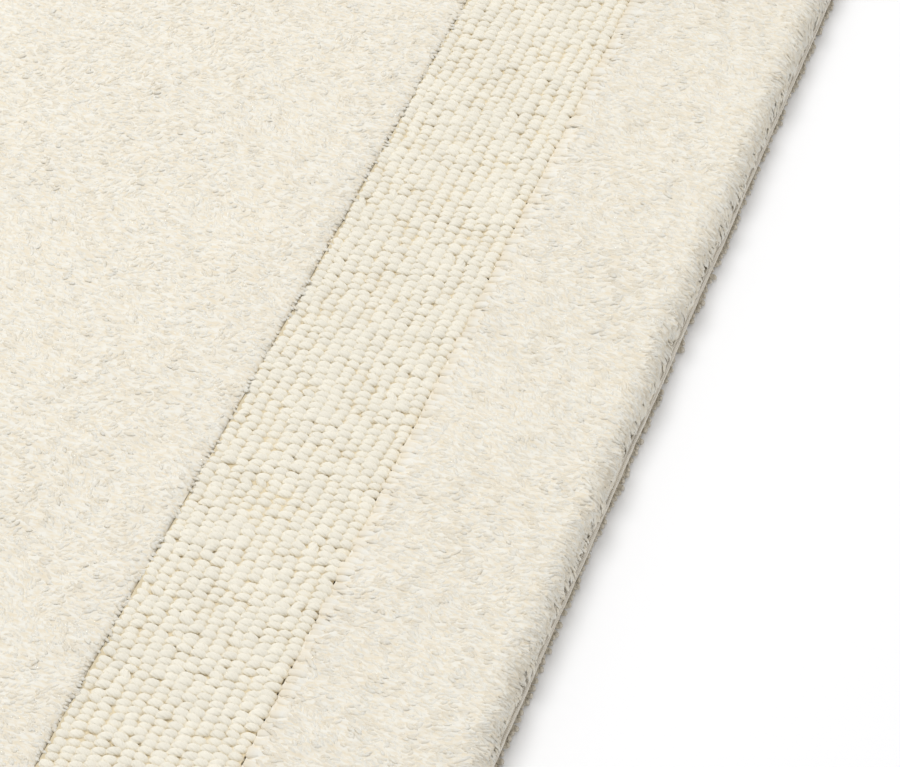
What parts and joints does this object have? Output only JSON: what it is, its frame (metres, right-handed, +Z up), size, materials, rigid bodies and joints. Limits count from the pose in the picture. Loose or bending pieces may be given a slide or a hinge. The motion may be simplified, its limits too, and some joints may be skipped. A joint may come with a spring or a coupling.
{
  "type": "bath mat",
  "caption": "Thick tufted cotton bath mat with a cut-pile centre, a slightly lower band of loop pile around it, and a cut-pile border that rolls over the hem.",
  "frame": {"origin": "middle of the underside, on the surface the mat lies on", "axes": "+Y along the mat's long sides, +X along its short sides, +Z up out of the pile"},
  "size_m": [0.5, 0.8, 0.017],
  "materials": {
    "cotton_cut_pile": "soft matt cut cotton yarn, ivory",
    "cotton_loop_pile": "matt twisted cotton yarn loops, ivory",
    "cotton_reverse_loops": "matt cotton back stitches, ivory",
    "cotton_cloth": "matt plain-woven cotton, unbleached",
    "sewing_thread": "matt twisted cotton thread"
  },
  "bodies": {
    "root": {"reverse_loops": "cotton_reverse_loops", "ground_cloth": "cotton_cloth", "centre_cut_pile": "cotton_cut_pile", "loop_band": "cotton_loop_pile", "border_cut_pile": "cotton_cut_pile", "hem_right": "cotton_cloth", "hem_back": "cotton_cloth", "hem_left": "cotton_cloth", "hem_front": "cotton_cloth", "seam_right": "sewing_thread", "seam_back": "sewing_thread", "seam_left": "sewing_thread", "seam_front": "sewing_thread"}
  },
  "joints": []
}
